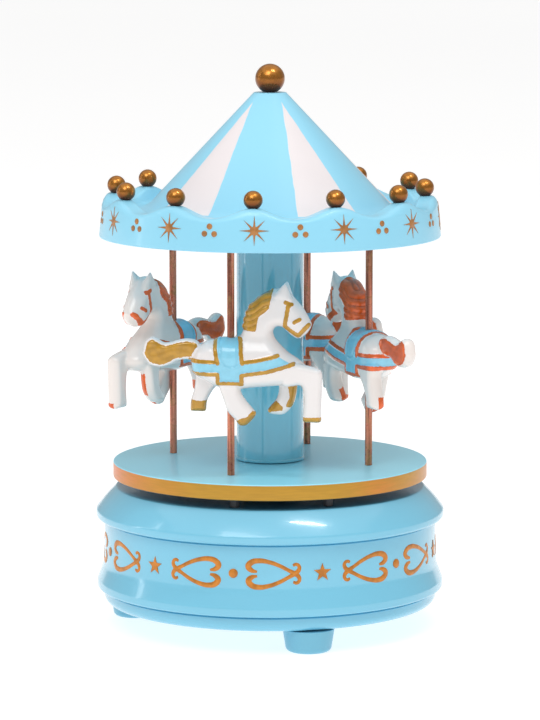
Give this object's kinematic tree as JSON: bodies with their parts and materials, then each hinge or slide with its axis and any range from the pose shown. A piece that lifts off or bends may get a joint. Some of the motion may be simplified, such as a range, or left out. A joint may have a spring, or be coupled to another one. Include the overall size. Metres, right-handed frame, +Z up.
{
  "type": "wind-up carousel music box",
  "caption": "Wind-up carousel music box: round base with a pinned-cylinder movement, turning platform with horses on poles and a cone canopy.",
  "frame": {"origin": "on the turning axis, on the plane that the feet stand on", "axes": "+Z up along the turning axis, -Y towards the side shown in the reference view, +X to its right"},
  "size_m": [0.105, 0.105, 0.1696],
  "materials": {
    "steel": "nickel-plated steel",
    "brass": "turned and stamped brass",
    "cast_zinc": "bare cast zinc",
    "spring_steel": "blued spring steel",
    "foot": "moulded pale blue plastic",
    "glide_pad": "dark plastic",
    "base_shell": "pale blue gloss paint with gold painted ornament",
    "base_plate": "pale blue plastic",
    "turntable": "pale blue gloss top with a gold painted edge",
    "column": "glossy teal blue",
    "pole": "copper-coloured metal",
    "horse": "glossy white with blue saddle, gold trim and painted hooves",
    "canopy": "pale blue satin paint with white stripes and gold stars",
    "canopy_ceiling": "pale blue plastic",
    "gold_ball": "gold paint"
  },
  "bodies": {
    "base": {"base_plate": "base_plate", "base_shell": "base_shell", "bedplate": "steel", "bedplate_screw_1": "steel", "bedplate_screw_2": "steel", "comb": "steel", "comb_block": "cast_zinc", "comb_screw_1": "steel", "comb_screw_2": "steel", "foot_1": "foot", "foot_2": "foot", "foot_3": "foot", "foot_screw_1": "steel", "foot_screw_2": "steel", "foot_screw_3": "steel", "glide_pad_1": "glide_pad", "glide_pad_2": "glide_pad", "glide_pad_3": "glide_pad", "governor_bracket": "brass", "inner_bearing_post": "brass", "outer_bearing_post": "brass", "spindle_bush": "brass"},
    "carousel": {"turntable": "turntable", "spindle": "steel", "spring_barrel": "brass", "mainspring": "spring_steel", "crown_wheel": "brass", "column": "column", "canopy": "canopy", "canopy_ceiling": "canopy_ceiling", "finial": "gold_ball", "horse_1": "horse", "horse_2": "horse", "horse_3": "horse", "horse_4": "horse", "pole_1": "pole", "pole_2": "pole", "pole_3": "pole", "pole_4": "pole", "rim_ball_1": "gold_ball", "rim_ball_10": "gold_ball", "rim_ball_11": "gold_ball", "rim_ball_12": "gold_ball", "rim_ball_2": "gold_ball", "rim_ball_3": "gold_ball", "rim_ball_4": "gold_ball", "rim_ball_5": "gold_ball", "rim_ball_6": "gold_ball", "rim_ball_7": "gold_ball", "rim_ball_8": "gold_ball", "rim_ball_9": "gold_ball"},
    "cylinder_group": {"pinion_arbor": "steel", "pinned_cylinder": "brass", "cylinder_wheel": "brass"},
    "second_group": {"second_arbor": "steel", "worm_wheel": "brass"},
    "governor_group": {"governor_worm": "steel", "governor_fan": "brass"},
    "key_group": {"winding_key": "steel", "winding_arbor": "steel"}
  },
  "joints": [
    {"name": "turntable_spin", "type": "hinge", "parent": "base", "child": "carousel", "pos_m": [0, 0, 0], "axis": [0, 0, 1], "continuous": true},
    {"name": "cylinder_spin", "type": "hinge", "parent": "base", "child": "cylinder_group", "pos_m": [0, 0, 0.02895], "axis": [1, 0, 0], "continuous": true},
    {"name": "second_arbor_spin", "type": "hinge", "parent": "base", "child": "second_group", "pos_m": [0, -0.0121, 0.02895], "axis": [1, 0, 0], "continuous": true},
    {"name": "governor_spin", "type": "hinge", "parent": "base", "child": "governor_group", "pos_m": [0.025, -0.01735, 0.02895], "axis": [0, 0, 1], "continuous": true},
    {"name": "key_wind", "type": "hinge", "parent": "base", "child": "key_group", "pos_m": [0, 0, 0], "axis": [0, 0, 1], "continuous": true}
  ],
  "couplings": [
    {"joint": "cylinder_spin", "follows": "turntable_spin", "ratio": 3},
    {"joint": "second_arbor_spin", "follows": "turntable_spin", "ratio": -9},
    {"joint": "governor_spin", "follows": "turntable_spin", "ratio": -90}
  ]
}
